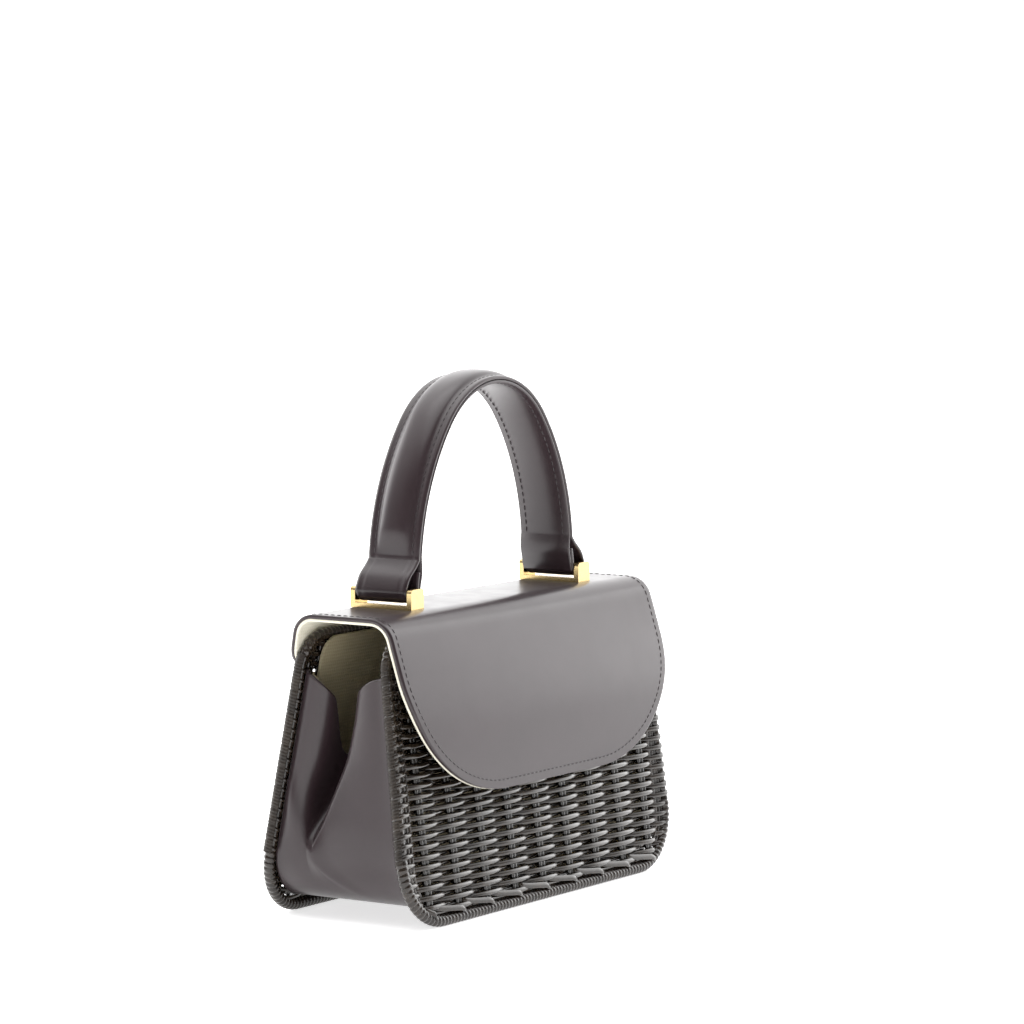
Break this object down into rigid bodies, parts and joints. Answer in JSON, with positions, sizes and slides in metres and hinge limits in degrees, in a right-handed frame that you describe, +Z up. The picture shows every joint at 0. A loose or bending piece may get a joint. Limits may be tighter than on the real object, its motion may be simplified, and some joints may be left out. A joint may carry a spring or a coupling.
{
  "type": "basket box handbag",
  "caption": "Small box handbag of two woven cane panels on a folded leather gusset, with a leather flap and an arched leather handle on gold brackets.",
  "frame": {"origin": "ground level midway between the bottom rods of the two woven panels, at the middle of the bag's width", "axes": "+X across the bag to its right seen from the back, -Y out of the front panel under the flap, +Z up"},
  "size_m": [0.1998, 0.0782, 0.2133],
  "materials": {
    "wicker": "dark stained cane under a gloss lacquer",
    "brown_leather": "smooth dark plum-brown calf, soft sheen",
    "bag_lining": "khaki lining cloth on board",
    "flap_cotton": "cream woven cotton",
    "base_card": "plain stiffener board",
    "core_felt": "pressed felt filler",
    "gold_plate": "polished pale gold plating",
    "steel": "nickel-plated steel"
  },
  "bodies": {
    "bag": {"front_rim_rod": "wicker", "front_rim_winding": "wicker", "front_stakes": "wicker", "front_weave": "wicker", "front_lining_board": "bag_lining", "back_rim_rod": "wicker", "back_rim_winding": "wicker", "back_stakes": "wicker", "back_weave": "wicker", "back_lining_board": "bag_lining", "gusset": "brown_leather", "gusset_lining": "bag_lining", "base_board": "base_card", "flap_back_leather": "brown_leather", "flap_back_lining": "flap_cotton", "snap_socket": "steel"},
    "flap": {"flap_leather": "brown_leather", "flap_lining": "flap_cotton", "snap_stud": "steel", "handle_outer_strap": "brown_leather", "handle_inner_strap": "brown_leather", "handle_core": "core_felt", "bracket_left": "gold_plate", "bracket_right": "gold_plate", "bar_left": "gold_plate", "bar_right": "gold_plate", "backing_plate_left": "steel", "backing_plate_right": "steel", "bracket_screws": "steel"}
  },
  "joints": [
    {"name": "flap_hinge", "type": "hinge", "parent": "bag", "child": "flap", "pos_m": [0, 0.02095, 0.112], "axis": [-1, 0, 0], "range_deg": [0, 110]}
  ]
}
